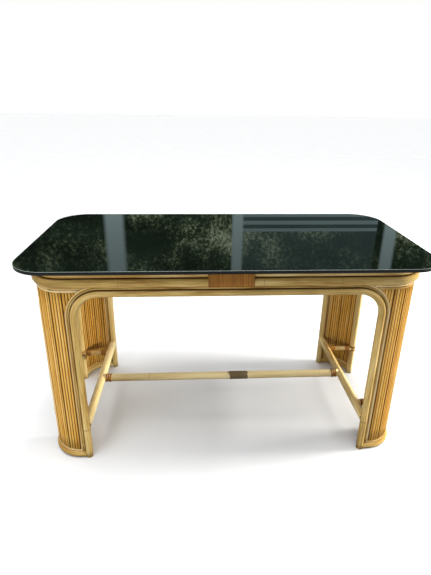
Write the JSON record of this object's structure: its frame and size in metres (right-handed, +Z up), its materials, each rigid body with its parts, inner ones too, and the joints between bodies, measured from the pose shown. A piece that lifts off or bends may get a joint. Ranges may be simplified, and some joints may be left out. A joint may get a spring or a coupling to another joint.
{
  "type": "rattan table",
  "caption": "Dining-height table of bent rattan poles with reeded corner legs, arched aprons, low stretchers and a loose smoked glass top.",
  "frame": {"origin": "on the floor under the middle of the table", "axes": "+X along the length of the table, +Y across it, +Z up"},
  "size_m": [1.37, 0.67, 0.75],
  "materials": {
    "glass": "dark smoked plate glass with a polished edge",
    "clear_vinyl": "clear soft vinyl",
    "rattan_pole": "skinned rattan pole, lacquered honey, satin",
    "pencil_reed": "pencil reed, lacquered honey, satin",
    "cane": "split cane strip, stained red-brown",
    "weathered_cane": "old split cane, greyed",
    "dowel": "bare beech",
    "screw": "zinc-plated steel"
  },
  "bodies": {
    "table_frame": {"glass_bumpers": "clear_vinyl", "upper_rail_left": "rattan_pole", "upper_rail_right": "rattan_pole", "main_rail_left": "rattan_pole", "main_rail_right": "rattan_pole", "rail_dowels": "dowel", "front_wrap": "cane", "back_wrap": "cane", "front_arch": "rattan_pole", "back_arch": "rattan_pole", "left_arch": "rattan_pole", "right_arch": "rattan_pole", "front_arch_trim": "rattan_pole", "back_arch_trim": "rattan_pole", "left_arch_trim": "rattan_pole", "right_arch_trim": "rattan_pole", "front_left_border": "pencil_reed", "front_right_border": "pencil_reed", "back_left_border": "pencil_reed", "back_right_border": "pencil_reed", "front_left_corner_trim": "pencil_reed", "front_right_corner_trim": "pencil_reed", "back_left_corner_trim": "pencil_reed", "back_right_corner_trim": "pencil_reed", "front_left_reeds": "pencil_reed", "front_right_reeds": "pencil_reed", "back_left_reeds": "pencil_reed", "back_right_reeds": "pencil_reed", "front_left_hoop": "rattan_pole", "front_right_hoop": "rattan_pole", "back_left_hoop": "rattan_pole", "back_right_hoop": "rattan_pole", "left_stretcher": "rattan_pole", "right_stretcher": "rattan_pole", "centre_stretcher": "rattan_pole", "front_left_tie": "rattan_pole", "front_right_tie": "rattan_pole", "back_left_tie": "rattan_pole", "back_right_tie": "rattan_pole", "centre_bindings": "cane", "tie_bindings": "cane", "post_bindings": "cane", "stretcher_wrap": "weathered_cane", "rail_screws": "screw", "stretcher_screws": "screw"},
    "glass": {"glass_top": "glass"}
  },
  "joints": [
    {"name": "glass_lift", "type": "slide", "parent": "table_frame", "child": "glass", "axis": [0, 0, 1], "range_m": [0, 0.12]}
  ]
}
